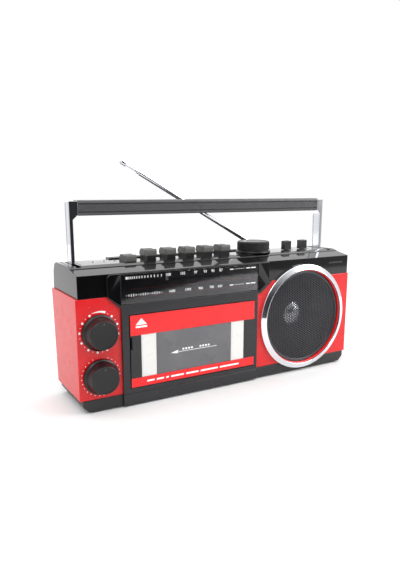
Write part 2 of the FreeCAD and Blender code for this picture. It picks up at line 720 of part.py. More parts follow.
def make_capstan_drive():
    groove = "flywheel_radius - 1.5"
    profile = [("0", "-31"), ("1.25", "-31"), ("1.25", "-16.7"), ("flywheel_radius", "-16.7"),
               ("flywheel_radius", "-16"), (groove, "-15.9"), (groove, "-14.1"), ("flywheel_radius", "-14"),
               ("flywheel_radius", "-12.8"), ("0", "-12.8")]
    finish(turned("capstan_flywheel_piece", "y", ("capstan_x", "0", "capstan_z"), profile),
           "capstan_flywheel")
    radius = "pulley_radius"
    pulley = [("0", "-16.4"), (f"{radius} + 0.8", "-16.4"), (f"{radius} + 0.8", "-16"), (radius, "-15.9"),
              (radius, "-14.1"), (f"{radius} + 0.8", "-14"), (f"{radius} + 0.8", "-13.6"), ("1", "-13.6"),
              ("1", "-10.5"), ("0", "-10.5")]
    finish(turned("motor_pulley_piece", "y", ("motor_x", "0", "motor_z"), pulley), "motor_pulley")
    case = rod("motor_case", "y", "motor_radius", ("motor_x", "-13", "motor_z"), "11")
    plate = block("motor_plate", ("motor_x - 16", "motor_x + 15"), ("-13", "-12"),
                  ("motor_z - 15", "motor_z + 15"))
    posts = [rod("motor_post", "y", "2", (f"motor_x {place}", "-17", f"motor_z {up}"), "4.5")
             for place, up in (("- 13.5", "- 12.5"), ("+ 12.5", "+ 12.5"))]
    bore = rod("motor_bore", "y", "1.06", ("motor_x", "-14", "motor_z"), "4")
    finish(cut("tape_motor_piece", join("motor_solid", [case, plate] + posts), [bore]), "tape_motor")


def belt_loop(extra):
    # the outline of a belt round the motor pulley and the flywheel, made of two tangents and two arcs
    small = FreeCAD.Vector(value("motor_x"), 0, value("motor_z"))
    large = FreeCAD.Vector(value("capstan_x"), 0, value("capstan_z"))
    radii = (value("pulley_radius + 0.05") + extra, value("belt_radius") + extra)
    reach = large - small
    lean = math.asin((radii[1] - radii[0]) / reach.Length)
    run = math.atan2(reach.z, reach.x)
    spots = []
    for side in (1, -1):
        angle = run + side * (math.pi / 2 + lean)
        normal = FreeCAD.Vector(math.cos(angle), 0, math.sin(angle))
        spots.append((small + normal * radii[0], large + normal * radii[1]))
    ahead = reach / reach.Length
    near = Part.Arc(spots[0][0], small - ahead * radii[0], spots[1][0]).toShape()
    far = Part.Arc(spots[1][1], large + ahead * radii[1], spots[0][1]).toShape()
    upper = Part.makeLine(spots[0][1], spots[0][0])
    lower = Part.makeLine(spots[1][0], spots[1][1])
    return Part.Face(Part.Wire([near, lower, far, upper]))


def make_drive_belt():
    ring = belt_loop(0.9).cut(belt_loop(0.0))
    belt = document.addObject("Part::Feature", "drive_belt_piece")
    belt.Shape = ring.extrude(FreeCAD.Vector(0, 1.6, 0))
    belt.setExpression(".Placement.Base.y", "-15.8")
    finish(belt, "drive_belt")


def make_pinch_roller():
    profile = [("1.26", "-31"), ("6", "-31"), ("6", "-22.5"), ("1.26", "-22.5")]
    finish(turned("pinch_roller_piece", "y", ("roller_x", "0", "roller_z"), profile), "pinch_roller")


def make_tape_heads():
    back = "chassis_front - 0.15"
    plate = block("head_plate", ("-62", "-20"), (f"{back} - 1.2", back), ("15.5", "20.5"))
    play_head = block("play_head", ("bay_middle - 5.5", "bay_middle + 5.5"), ("-30.5", back),
                      ("15.5", "23.5"))
    erase_head = block("erase_head", ("-62", "-55.5"), ("-29.5", back), ("15.5", "22.5"))
    finish(join("tape_heads_piece", [plate, play_head, erase_head]), "tape_heads")


# ---------------------------------------------------------------- power and electronics

def make_circuit_board():
    board = block("board", ("-120", "50"), ("-1.7", "-0.2"), ("18", "96"))
    parts = [rod("board_capacitor", "y", "4", (across, "-12", "84"), "10.5") for across in ("-60", "-46",
                                                                                            "12")]
    parts.append(block("board_chip", ("-20", "0"), ("-5", "-1"), ("80", "87")))
    parts.append(block("board_filter", ("26", "36"), ("-13", "-1"), ("70", "80")))
    finish(join("circuit_board_piece", [board] + parts), "circuit_board")


def make_battery_contacts():
    contacts = []
    for across in (("bay_left", "bay_left + 0.8"), ("bay_right - 0.8", "bay_right")):
        for up in (("22", "38"), ("50", "66")):
            contacts.append(block("contact", across, ("8", "22"), up))
    finish(group("battery_contacts_piece", contacts), "battery_contacts")


def make_power_inlet():
    face = "back_low + 0.6"
    case = block("inlet_case", ("inlet_x - 11.8", "inlet_x + 11.8"), ("inlet_front", face),
                 ("inlet_z - 7.8", "inlet_z + 7.8"))
    recess = block("inlet_recess", ("inlet_x - 8.5", "inlet_x + 8.5"), ("inlet_front + 5", "back_seam"),
                   ("inlet_z - 4", "inlet_z + 4"))
    pins = [rod("inlet_pin", "y", "1.2", (f"inlet_x {place}", "18", "inlet_z"),
                "9.5") for place in ("- 4.3", "+ 4.3")]
    finish(join("power_inlet_piece", [cut("open_inlet", case, [recess])] + pins), "power_inlet")


# ---------------------------------------------------------------- handle and aerial

def make_handle():
    along = ("arm_front", "arm_back")
    grip = block("handle_grip_piece", ("-grip_end", "grip_end"), along, ("grip_low", "grip_high"))
    finish(grip, "handle_grip")
    middle = "(arm_front + arm_back) / 2"
    for label, side in (("left_handle_arm", -1), ("right_handle_arm", 1)):
        corners = [(f"{side} * arm_outer", "pivot_z"), (f"{side} * arm_outer", "grip_high - 0.6"),
                   (f"{side} * grip_end", "grip_high - 0.6"), (f"{side} * grip_end", "grip_low + 0.9"),
                   (f"{side} * arm_inner", "grip_low - 3.6"), (f"{side} * arm_inner", "pivot_z")]
        strap = slab(label + "_strap", "XZ_Plane", corners, "arm_front", "arm_back")
        ends = sorted((f"{side} * arm_inner", f"{side} * arm_outer"), key=value)
        hub = rod(label + "_hub", "x", "7", (ends[0], middle, "pivot_z"), "arm_outer - arm_inner")
        pin_ends = sorted((f"{side} * (arm_inner - 5.5)", f"{side} * (arm_inner + 1)"), key=value)
        pin = rod(label + "_pin", "x", "shaft_radius", (pin_ends[0], middle, "pivot_z"), "6.5")
        finish(join(label + "_piece", [strap, hub, pin]), label)


def aerial_section(label, profile, extras):
    # a section turned about the aerial's own leaning axis, which starts at the pivot
    section = turned(label + "_piece", "z", ("aerial_x", "aerial_y", "aerial_z"), profile)
    lean = FreeCAD.Rotation(FreeCAD.Vector(0, 1, 0), value("aerial_lean") - 90)
    section.Placement = FreeCAD.Placement(section.Placement.Base, lean)
    finish(join(label + "_joined", [section] + extras) if extras else section, label)


def make_aerial():
    profile = [("0", "deck - 3.3"), ("6.5", "deck - 3.3"), ("6.5", "deck + 1.2"), ("0", "deck + 1.2")]
    turret = turned("turret", "z", ("aerial_x", "aerial_y", "0"), profile)
    stem = rod("turret_stem", "z", "3", ("aerial_x", "aerial_y", "deck - 7"), "5")
    ears = []
    for side in (1, -1):
        along = sorted((f"aerial_y + {side} * 3.3", f"aerial_y + {side} * 4.9"), key=value)
        ears.append(block("aerial_ear", ("aerial_x - 3.2", "aerial_x + 3.2"), along,
                          ("deck + 1", "aerial_z + 3")))
    pin = rod("aerial_pin", "y", "1.3", ("aerial_x", "aerial_y - 4.9", "aerial_z"), "9.8")
    finish(join("aerial_base_piece", [turret, stem, pin] + ears), "aerial_base")
    tube = [("2.36", "4"), ("aerial_radius", "4"), ("aerial_radius", "aerial_tube_end"),
            ("2.36", "aerial_tube_end")]
    hub = rod("aerial_hub", "y", "aerial_radius", ("aerial_x", "aerial_y - 3", "aerial_z"), "6")
    bore = rod("aerial_bore", "y", "1.36", ("aerial_x", "aerial_y - 5", "aerial_z"), "10")
    plug = turned("aerial_plug", "z", ("aerial_x", "aerial_y", "aerial_z"),
                  [("0", "2"), ("2.9", "2"), ("2.9", "7"), ("0", "7")])
    lean = FreeCAD.Rotation(FreeCAD.Vector(0, 1, 0), value("aerial_lean") - 90)
    plug.Placement = FreeCAD.Placement(plug.Placement.Base, lean)
    aerial_section("aerial_tube", tube, [cut("aerial_knuckle", join("solid_knuckle", [hub, plug]), [bore])])
    middle = [("1.16", "12"), ("2.3", "12"), ("2.3", "aerial_middle_end"), ("1.16", "aerial_middle_end")]
    aerial_section("aerial_middle", middle, [])
    rod_profile = [("0", "16"), ("1.1", "16"), ("1.1", "aerial_tip - 7.7"), ("3.1", "aerial_tip - 7.2"),
                   ("3.1", "aerial_tip - 1"), ("2.1", "aerial_tip"), ("0", "aerial_tip")]
    aerial_section("aerial_rod", rod_profile, [])


def build_everything():
    fill_sheet()
    make_front_cabinet()
    make_top_cover()
    make_base_tray()
    make_rubber_feet()
    make_back_cover()
    make_battery_door()
    make_cabinet_screws()
    make_centre_panel()
    make_dial_bezel()
    make_dial()
    make_indicator_lamps()
    make_speaker()
    make_front_knobs()
    make_tuning()
    make_slide_switches()
    make_keys()
    make_key_frame()
    make_cassette_door()
    make_cassette_holder()
    make_tape_chassis()
    make_spindles()
    make_capstan_drive()
    make_drive_belt()
    make_pinch_roller()
    make_tape_heads()
    make_circuit_board()
    make_battery_contacts()
    make_power_inlet()
    make_handle()
    make_aerial()
    document.recompute()


def check_everything():
    for item in document.Objects:
        broken = {"Invalid", "Error"} & set(item.State)
        if broken:
            raise RuntimeError(f"{item.Name} is {broken}")
    for piece in finished:
        if piece.Shape.isNull() or not piece.Shape.isValid():
            raise RuntimeError(f"{piece.Label} has no valid shape")


def write_everything():
    os.makedirs("parts", exist_ok=True)
    for piece in finished:
        piece.Shape.exportStep(f"parts/{piece.Label}.step")


build_everything()
check_everything()
write_everything()
whole = Part.makeCompound([piece.Shape for piece in finished]).BoundBox
print(f"{len(finished)} sub-parts; X {whole.XMin:.2f} {whole.XMax:.2f}; Y {whole.YMin:.2f} {whole.YMax:.2f}; "
      f"Z {whole.ZMin:.2f} {whole.ZMax:.2f}")
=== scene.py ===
import json
import math

import bmesh
import bpy
from mathutils import Matrix, Vector


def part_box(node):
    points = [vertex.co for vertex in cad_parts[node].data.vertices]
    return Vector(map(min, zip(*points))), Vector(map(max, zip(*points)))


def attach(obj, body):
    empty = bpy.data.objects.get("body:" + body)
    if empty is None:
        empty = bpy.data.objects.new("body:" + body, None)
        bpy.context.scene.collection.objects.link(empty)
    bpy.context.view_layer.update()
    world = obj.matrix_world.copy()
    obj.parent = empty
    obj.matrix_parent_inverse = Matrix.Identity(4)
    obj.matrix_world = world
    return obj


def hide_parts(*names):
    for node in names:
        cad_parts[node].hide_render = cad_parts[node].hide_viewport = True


# Looks of the radio and cassette player. Shapes are worked out in millimetres from the boxes of
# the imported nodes, in the same frame, and scaled to metres when a piece is made.

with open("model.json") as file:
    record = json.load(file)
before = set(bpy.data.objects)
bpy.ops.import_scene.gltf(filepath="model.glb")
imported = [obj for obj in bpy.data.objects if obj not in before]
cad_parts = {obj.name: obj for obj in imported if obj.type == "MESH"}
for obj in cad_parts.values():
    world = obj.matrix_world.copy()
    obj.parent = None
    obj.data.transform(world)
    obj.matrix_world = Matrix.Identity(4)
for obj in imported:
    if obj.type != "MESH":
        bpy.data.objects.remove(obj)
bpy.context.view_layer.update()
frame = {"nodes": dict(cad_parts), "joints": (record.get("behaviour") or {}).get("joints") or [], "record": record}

MM = 0.001
NODES = frame["nodes"]
SLOTS = {part["node"]: part["material_slot"] for part in frame["record"]["subparts"]}
BODIES = {node: body for body, members in frame["record"]["behaviour"]["bodies"].items()
          for node in members}
JOINTS = {joint["name"]: joint for joint in frame["joints"]}

INK = 0.06  # thickness of the printed marks
THIN_INK = 0.05

# Turns from a shape's own axes (across, up, outward) to the side of the object that it faces
FACING = {
    "front": Matrix(((1, 0, 0), (0, 0, -1), (0, 1, 0))),
    "back": Matrix(((-1, 0, 0), (0, 0, 1), (0, 1, 0))),
    "top": Matrix.Identity(3),
    "right": Matrix(((0, 0, 1), (1, 0, 0), (0, 1, 0))),
    "left": Matrix(((0, 0, -1), (-1, 0, 0), (0, 1, 0))),
}


def box_mm(node):
    """A CAD node's low and high corners in millimetres."""
    low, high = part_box(node)
    return low / MM, high / MM


# ---------------------------------------------------------------- materials

def linear(red, green, blue):
    """Screen values from 0 to 255 as a linear colour."""
    shares = (channel / 255 for channel in (red, green, blue))
    return [share / 12.92 if share < 0.04045 else ((share + 0.055) / 1.055) ** 2.4 for share in shares]


def noise(tree, size, detail=2.0):
    """A noise pattern with features of about the given size in millimetres."""
    place = tree.nodes.new("ShaderNodeTexCoord")
    pattern = tree.nodes.new("ShaderNodeTexNoise")
    pattern.inputs["Scale"].default_value = 1 / (size * MM)
    pattern.inputs["Detail"].default_value = detail
    tree.links.new(place.outputs["Object"], pattern.inputs["Vector"])
    return pattern.outputs["Fac"]


def spread(tree, source, low, high, start=0.3, end=0.7):
    """source, from start to end, as a value from low to high."""
    scale = tree.nodes.new("ShaderNodeMapRange")
    for name, number in (("From Min", start), ("From Max", end), ("To Min", low), ("To Max", high)):
        scale.inputs[name].default_value = number
    tree.links.new(source, scale.inputs["Value"])
    return scale.outputs["Result"]


def two_tone(tree, factor, dark, light):
    """A mix of two colours, or of a colour and a socket, by factor."""
    mix = tree.nodes.new("ShaderNodeMix")
    mix.data_type = "RGBA"
    for name, colour in (("A", dark), ("B", light)):
        socket = next(s for s in mix.inputs if s.name == name and s.type == "RGBA")
        if isinstance(colour, bpy.types.NodeSocket):
            tree.links.new(colour, socket)
        else:
            socket.default_value = (*colour, 1)
    tree.links.new(factor, mix.inputs["Factor"])
    return next(s for s in mix.outputs if s.type == "RGBA")


def worn_edges(tree, radius):
    """Near 1 on rounded outer edges within radius millimetres, and 0 on flat faces."""
    rounded = tree.nodes.new("ShaderNodeBevel")
    rounded.samples = 4
    rounded.inputs["Radius"].default_value = radius * MM
    plain = tree.nodes.new("ShaderNodeNewGeometry")
    dot = tree.nodes.new("ShaderNodeVectorMath")
    dot.operation = "DOT_PRODUCT"
    tree.links.new(rounded.outputs["Normal"], dot.inputs[0])
    tree.links.new(plain.outputs["Normal"], dot.inputs[1])
    return spread(tree, dot.outputs["Value"], 1.0, 0.0, 0.82, 0.995)


def surface(name, colour, roughness, metallic=0.0, ior=1.5, mottle=0.07, grain=0.1, grain_size=0.5,
            depth=0.02, wear=0.0, coat=0.0):
    """A moulded, painted or plated surface: slow colour drift, fine grain, and rubbed edges."""
    material = bpy.data.materials.new(name)
    material.use_nodes = True
    tree = material.node_tree
    shader = tree.nodes["Principled BSDF"]
    shader.inputs["Metallic"].default_value = metallic
    shader.inputs["IOR"].default_value = ior
    shader.inputs["Coat Weight"].default_value = coat
    shader.inputs["Coat Roughness"].default_value = 0.04
    drift = noise(tree, 22, 3)
    fine = noise(tree, grain_size, 2)
    tone = two_tone(tree, spread(tree, drift, 0, 1), [c * (1 - mottle) for c in colour],
                    [min(1, c * (1 + mottle)) for c in colour])
    rough = spread(tree, noise(tree, 7, 4), roughness * 0.85, min(1, roughness * 1.2))
    if wear:
        edges = worn_edges(tree, 0.5)
        faint = tree.nodes.new("ShaderNodeMath")
        faint.operation = "MULTIPLY"
        faint.inputs[1].default_value = wear
        tree.links.new(edges, faint.inputs[0])
        tone = two_tone(tree, faint.outputs["Value"], tone, [0.25 + 0.6 * c for c in colour])
    bump = tree.nodes.new("ShaderNodeBump")
    bump.inputs["Strength"].default_value = grain
    bump.inputs["Distance"].default_value = depth * MM
    tree.links.new(fine, bump.inputs["Height"])
    tree.links.new(tone, shader.inputs["Base Color"])
    tree.links.new(rough, shader.inputs["Roughness"])
    tree.links.new(bump.outputs["Normal"], shader.inputs["Normal"])
    return material


def clear_plastic(name, tint, haze):
    """Tinted see-through sheet, glossy on top; haze is the share that scatters light."""
    material = bpy.data.materials.new(name)
    material.use_nodes = True
    tree = material.node_tree
    tree.nodes.remove(tree.nodes["Principled BSDF"])
    through = tree.nodes.new("ShaderNodeBsdfTransparent")
    hue = two_tone(tree, spread(tree, noise(tree, 30), 0, 1), [c * 0.94 for c in tint], tint)
    tree.links.new(hue, through.inputs["Color"])
    dull = tree.nodes.new("ShaderNodeBsdfDiffuse")
    dull.inputs["Color"].default_value = (0.62, 0.62, 0.65, 1)
    body = tree.nodes.new("ShaderNodeMixShader")
    tree.links.new(spread(tree, noise(tree, 14), haze * 0.9, haze * 1.1), body.inputs["Fac"])
    tree.links.new(through.outputs["BSDF"], body.inputs[1])
    tree.links.new(dull.outputs["BSDF"], body.inputs[2])
    gloss = tree.nodes.new("ShaderNodeBsdfGlossy")
    tree.links.new(spread(tree, noise(tree, 9), 0.02, 0.06), gloss.inputs["Roughness"])
    angle = tree.nodes.new("ShaderNodeFresnel")
    angle.inputs["IOR"].default_value = 1.5
    mix = tree.nodes.new("ShaderNodeMixShader")
    tree.links.new(angle.outputs["Fac"], mix.inputs["Fac"])
    tree.links.new(body.outputs["Shader"], mix.inputs[1])
    tree.links.new(gloss.outputs["BSDF"], mix.inputs[2])
    tree.links.new(mix.outputs["Shader"], tree.nodes["Material Output"].inputs["Surface"])
    return material


def make_materials():
    return {
        "red_gloss": surface("red_gloss", linear(208, 16, 22), 0.24, mottle=0.025, grain=0.12,
                             grain_size=0.7, wear=0.12),
        "red_trim": surface("red_trim", linear(224, 24, 28), 0.2, grain=0.05, wear=0.12),
        "black_gloss": surface("black_gloss", linear(9, 9, 10), 0.06, ior=1.48, grain=0.02,
                               grain_size=3, wear=0.08),
        "black_satin": surface("black_satin", linear(30, 30, 32), 0.42, grain=0.35,
                               grain_size=0.45, wear=0.2),
        "charcoal_plastic": surface("charcoal_plastic", linear(30, 30, 33), 0.3, grain=0.2,
                                    grain_size=0.5, wear=0.15),
        "key_grey": surface("key_grey", linear(88, 88, 86), 0.42, grain=0.4, grain_size=0.4, wear=0.3),
        "knob_black": surface("knob_black", linear(12, 12, 13), 0.34, grain=0.25, grain_size=0.4, wear=0.2),
        "grip_grey": surface("grip_grey", linear(78, 78, 80), 0.38, grain=0.2, grain_size=0.5, wear=0.1),
        "white_plastic": surface("white_plastic", linear(218, 218, 215), 0.3, grain=0.1, mottle=0.02),
        "smoked_clear": clear_plastic("smoked_clear", (0.86, 0.85, 0.87), 0.0),
        "hazy_clear": clear_plastic("hazy_clear", (0.50, 0.50, 0.53), 0.18),
        "dial_print": surface("dial_print", linear(12, 8, 9), 0.5, grain=0.05, mottle=0.25),
        "white_ink": surface("white_ink", linear(246, 246, 246), 0.5, grain=0.05, mottle=0.015),
        "chrome_trim": surface("chrome_trim", linear(235, 236, 240), 0.06, metallic=1, mottle=0.015,
                               grain=0.02, grain_size=5),
        "black_mesh": surface("black_mesh", linear(84, 84, 87), 0.36, metallic=1, grain=0.1, grain_size=0.3),
        "steel": surface("steel", linear(150, 152, 156), 0.34, metallic=1, grain=0.2, grain_size=0.6),
        "brass_wheel": surface("brass_wheel", linear(190, 158, 92), 0.3, metallic=1, grain=0.1),
        "magnet_iron": surface("magnet_iron", linear(58, 58, 60), 0.6, grain=0.5, grain_size=0.6),
        "paper_cone": surface("paper_cone", linear(22, 22, 24), 0.85, grain=0.7, grain_size=0.5, depth=0.05),
        "silver_dome": surface("silver_dome", linear(222, 224, 228), 0.22, metallic=1, mottle=0.03,
                               grain=0.05),
        "foot_rubber": surface("foot_rubber", linear(24, 24, 25), 0.8, grain=0.6, grain_size=0.5),
        "belt_rubber": surface("belt_rubber", linear(28, 27, 27), 0.7, grain=0.4, grain_size=0.4),
        "board_green": surface("board_green", linear(28, 88, 48), 0.45, grain=0.2, mottle=0.15),
        "lamp_red": surface("lamp_red", linear(60, 6, 8), 0.08, grain=0.02, coat=0.6),
    }


MATERIALS = make_materials()


# ---------------------------------------------------------------- building shapes

def rounded(corners, radius, steps=5):
    """A closed outline with each corner cut back by radius and replaced by a smooth curve."""
    outline = []
    for index, corner in enumerate(corners):
        here = Vector(corner)
        before = Vector(corners[index - 1]) - here
        after = Vector(corners[(index + 1) % len(corners)]) - here
        start = here + before.normalized() * min(radius, before.length * 0.49)
        end = here + after.normalized() * min(radius, after.length * 0.49)
        for step in range(steps + 1):
            share = step / steps
            outline.append(tuple(start.lerp(here, share).lerp(here.lerp(end, share), share)))
    return outline


def rectangle(low, high):
    return [(low[0], low[1]), (high[0], low[1]), (high[0], high[1]), (low[0], high[1])]


def disc(centre, radius):
    steps = 20
    turns = (2 * math.pi * step / steps for step in range(steps))
    return [(centre[0] + radius * math.cos(turn), centre[1] + radius * math.sin(turn)) for turn in turns]


def placed(verts, facing, origin):
    turn = FACING[facing] if isinstance(facing, str) else facing
    for vert in verts:
        vert.co = turn @ vert.co + Vector(origin)


def add_prism(build, outline, low, high, facing="top", origin=(0, 0, 0)):
    """A closed outline, anticlockwise, extruded outward from low to high."""
    rings = [[build.verts.new((u, v, level)) for u, v in outline] for level in (low, high)]
    build.faces.new(reversed(rings[0]))
    build.faces.new(rings[1])
    for index in range(len(outline)):
        after = (index + 1) % len(outline)
        build.faces.new((rings[0][index], rings[0][after], rings[1][after], rings[1][index]))
    placed(rings[0] + rings[1], facing, origin)


def add_print(build, outline, origin, thick=INK):
    """A printed mark on a face that looks to the front."""
    add_prism(build, outline, 0, thick, "front", origin)


def add_turned(build, profile, facing="top", origin=(0, 0, 0), steps=96, ribs=None):
    """A profile of (radius, height), bottom to top round the outside, turned about the outward axis.

    ribs is (count, depth, low, high): flutes cut into the side between two heights."""
    made = []
    rings = []
    for radius, height in profile:
        if radius < 1e-6:
            rings.append([build.verts.new((0, 0, height))])
            made += rings[-1]
            continue
        ring = []
        for step in range(steps):
            turn = 2 * math.pi * step / steps
            reach = radius
            if ribs and ribs[2] <= height <= ribs[3]:
                reach -= ribs[1] * (0.5 - 0.5 * math.cos(ribs[0] * turn))
            ring.append(build.verts.new((reach * math.cos(turn), reach * math.sin(turn), height)))
        rings.append(ring)
        made += ring
    closed = len(rings[0]) > 1
    pairs = list(zip(rings, rings[1:] + rings[:1])) if closed else list(zip(rings, rings[1:]))
    for lower, upper in pairs:
        for step in range(steps):
            after = (step + 1) % steps
            corners = (lower[step % len(lower)], lower[after % len(lower)],
                       upper[after % len(upper)], upper[step % len(upper)])
            build.faces.new(list(dict.fromkeys(corners)))
    placed(made, facing, origin)


def round_edges(build, radius, segments, sharp=35, longest=0.0, keep=None):
    """Rounds every edge sharper than sharp degrees and at least longest millimetres long."""
    chosen = [edge for edge in build.edges
              if edge.is_manifold and edge.calc_face_angle(0) > math.radians(sharp)
              and edge.calc_length() >= longest and (keep is None or keep(edge))]
    bmesh.ops.bevel(build, geom=chosen, offset=radius, offset_type="OFFSET", segments=segments,
                    profile=0.5, affect="EDGES", clamp_overlap=False)


def from_node(node, whole=True):
    """A CAD node's own shape in millimetres, welded; whole joins the triangles of its flat faces."""
    build = bmesh.new()
    build.from_mesh(NODES[node].data)
    bmesh.ops.scale(build, vec=(1 / MM,) * 3, verts=build.verts)
    bmesh.ops.remove_doubles(build, verts=build.verts, dist=0.002)
    if whole:
        bmesh.ops.dissolve_limit(build, angle_limit=math.radians(0.6), use_dissolve_boundaries=False,
                                 verts=build.verts, edges=build.edges)
    return build


def make(name, build, body, slot, stands_for=(), finish=None, sharp=50):
    """Turns a shape in millimetres into a piece that rides on a body."""
    bmesh.ops.scale(build, vec=(MM,) * 3, verts=build.verts)
    bmesh.ops.recalc_face_normals(build, faces=build.faces)
    for edge in build.edges:
        edge.smooth = not edge.is_manifold or edge.calc_face_angle(0) < math.radians(sharp)
    for face in build.faces:
        face.smooth = True
    mesh = bpy.data.meshes.new(name)
    build.to_mesh(mesh)
    build.free()
    item = bpy.data.objects.new(name, mesh)
    bpy.context.scene.collection.objects.link(item)
    mesh.materials.append(MATERIALS[finish or slot])
    weighted = item.modifiers.new("flat faces stay flat", "WEIGHTED_NORMAL")
    weighted.keep_sharp = True
    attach(item, body)
    if stands_for:
        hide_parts(*stands_for)


def refine(node, radius, segments, longest=0.0, whole=True, finish=None):
    """Stands for a CAD node with the same shape and rounded edges."""
    build = from_node(node, whole)
    round_edges(build, radius, segments, longest=longest)
    make(node + "_skin", build, BODIES[node], SLOTS[node], [node], finish)


def mesh_of_text(text, size):
    """Digits as a flat mesh, centred on their own origin."""
    curve = bpy.data.curves.new("digits", "FONT")
    curve.body = text
    curve.size = size
    curve.align_x = "CENTER"
    curve.align_y = "CENTER"
    curve.extrude = 0.03
    curve.resolution_u = 3
    scratch = bpy.data.objects.new("digits", curve)
    mesh = bpy.data.meshes.new_from_object(scratch)
    bpy.data.objects.remove(scratch)
    return mesh


def add_text(build, text, size, origin):
    """Digits on a face that looks to the front."""
    before = set(build.verts)
    build.from_mesh(mesh_of_text(text, size))
    placed([vert for vert in build.verts if vert not in before], "front", origin)


# ---------------------------------------------------------------- housing

def make_housing():
    refine("front_cabinet", 0.7, 3, longest=6, whole=False)
    refine("top_cover", 0.3, 3, longest=3, whole=False)
    refine("base_tray", 0.6, 2, longest=4, whole=False)
    refine("centre_panel", 0.35, 2, longest=4, whole=False)
    refine("dial_bezel", 0.45, 2, longest=1.5, whole=False)
    refine("back_cover", 0.25, 2, longest=2, whole=False)
    refine("battery_door", 0.3, 2, longest=2)
    refine("rubber_feet", 0.4, 2)


def make_microphone_slot():
    """A thin raised strip at the right end of the black band, where the microphone sits."""
    low, high = box_mm("top_cover")
    level = box_mm("dial_bezel")[1].z - 6.4
    build = bmesh.new()
    outline = rounded(rectangle((high.x - 28, level - 0.9), (high.x - 8, level + 0.9)), 0.8)
    add_prism(build, outline, -0.3, 0.25, "front", (0, low.y, 0))
    round_edges(build, 0.12, 2)
    make("microphone_slot", build, "cabinet", "charcoal_plastic")


def make_battery_door_marks():
    """Thumb ribs and a slide arrow near the top of the battery lid, on the slope of the back."""
    low, high = box_mm("battery_door")
    lean_of_the_back = math.radians(3.17)
    leaning = Matrix.Rotation(-lean_of_the_back, 3, "X") @ FACING["back"]
    origin = ((low.x + high.x) / 2, high.y, high.z)
    build = bmesh.new()
    for index in range(5):
        level = -7 - 2.4 * index
        add_prism(build, rounded(rectangle((-13, level - 0.5), (13, level + 0.5)), 0.45, 3), -0.3, 0.25,
                  leaning, origin)
    add_prism(build, [(0, -27.5), (5, -22), (-5, -22)], -0.3, 0.25, leaning, origin)
    round_edges(build, 0.1, 2)
    make("battery_door_ribs", build, "battery_door", "black_satin")


# ---------------------------------------------------------------- dial

# Numbers and the places of their middles across, then bars as (middle, width, height)
DIAL_TOP_ROW = (("108", -70.3), ("102", -55.4), ("97", -41.7), ("93", -31.3), ("90", -23.0), ("87", -13.9))
DIAL_LOW_ROW = (("1600", -66.5), ("1300", -49.9), ("960", -36.3), ("700", -24.2), ("630", -14.8))
DIAL_END_BARS = ((-1.6, 4.0, 0.9), (7.6, 11.0, 0.22), (17.6, 4.2, 0.9), (23.8, 5.8, 0.9))


def add_wave(build, swing, origin, pulsing):
    """Upright strokes left of a row of numbers: even ones that crowd together, or three waves."""
    low, high = -111, -77
    strokes = 16
    waves = 3
    for index in range(strokes):
        share = index / (strokes - 1)
        pace = share if pulsing else share ** 1.6
        middle = low + (high - low) * pace
        tall = swing * (abs(math.sin(waves * math.pi * share)) * 0.8 + 0.2 if pulsing else 1.0)
        add_print(build, rectangle((middle - 0.28, -tall), (middle + 0.28, tall)), origin)


def make_dial():
    refine("dial_scale", 0.1, 1, longest=3, whole=False)
    refine("dial_window", 0.25, 2, longest=3)
    refine("dial_pointer", 0.1, 1, longest=1, finish="dial_print")
    low, high = box_mm("dial_scale")
    front = box_mm("dial_window")[0].y
    top_row = high.z - 2.6
    low_row = low.z + 8.0
    build = bmesh.new()
    for row, size, up in ((DIAL_TOP_ROW, 3.6, top_row), (DIAL_LOW_ROW, 3.3, low_row)):
        for text, across in row:
            add_text(build, text, size, (across, front, up))
    for up in (top_row, low_row):
        for across, wide, tall in DIAL_END_BARS:
            outline = rectangle((across - wide / 2, up - tall / 2), (across + wide / 2, up + tall / 2))
            add_print(build, outline, (0, front, 0))
    add_wave(build, 1.1, (0, front, top_row), False)
    add_wave(build, 1.3, (0, front, low_row), True)
    make("dial_numbers", build, "cabinet", "white_plastic", finish="white_ink")
    make_dial_ticks(low, high)
    make_pointer_marks()


def make_pointer_marks():
    """Three bright bars on the pointer's face."""
    low, high = box_mm("dial_pointer")
    build = bmesh.new()
    for index in range(3):
        across = low.x + 1.2 + index * 0.95
        outline = rectangle((across - 0.32, high.z - 4.4), (across + 0.32, high.z - 1.2))
        add_print(build, outline, (0, low.y, 0))
    make("pointer_marks", build, "dial_pointer", "white_plastic", finish="white_ink")


def make_dial_ticks(low, high):
    """Fine red tick marks along both tuning scales."""
    front = low.y - 0.02
    build = bmesh.new()
    for up in (high.z - 13.5, low.z + 5.2):
        for index in range(53):
            across = low.x + 12 + index * 2.4
            tall = 1.5 if index % 4 == 0 else 0.8
            outline = rectangle((across - 0.16, up), (across + 0.16, up + tall))
            add_print(build, outline, (0, front, 0), THIN_INK)
    make("dial_ticks", build, "cabinet", "red_trim")


# ---------------------------------------------------------------- loudspeaker

def make_speaker_ring():
    low, high = box_mm("speaker_ring")
    middle = (low + high) / 2
    outer = (high.x - low.x) / 2
    inner = outer - 5.7
    proud = high.y - low.y
    profile = [(inner, 0), (outer, 0), (outer, proud - 2.6), (outer - 0.15, proud - 2.3),
               (outer - 0.5, proud - 2.1), (inner + 1.2, proud - 0.3), (inner + 0.8, proud - 0.1),
               (inner + 0.45, proud - 0.05), (inner + 0.15, proud - 0.25), (inner, proud - 0.7)]
    build = bmesh.new()
    add_turned(build, profile, "front", (middle.x, high.y, middle.z), 160)
    make("speaker_ring_skin", build, "cabinet", "chrome_trim", ["speaker_ring"])
    trim = bmesh.new()
    front = box_mm("speaker_trim")[0].y
    edge = inner - 0.05
    add_turned(trim, [(edge - 0.8, -2), (edge, -2), (edge, 0.3), (edge - 0.3, 0.5), (edge - 0.8, 0.2)],
               "front", (middle.x, front, middle.z), 160)
    make("speaker_trim_skin", trim, "cabinet", "red_trim", ["speaker_trim"])


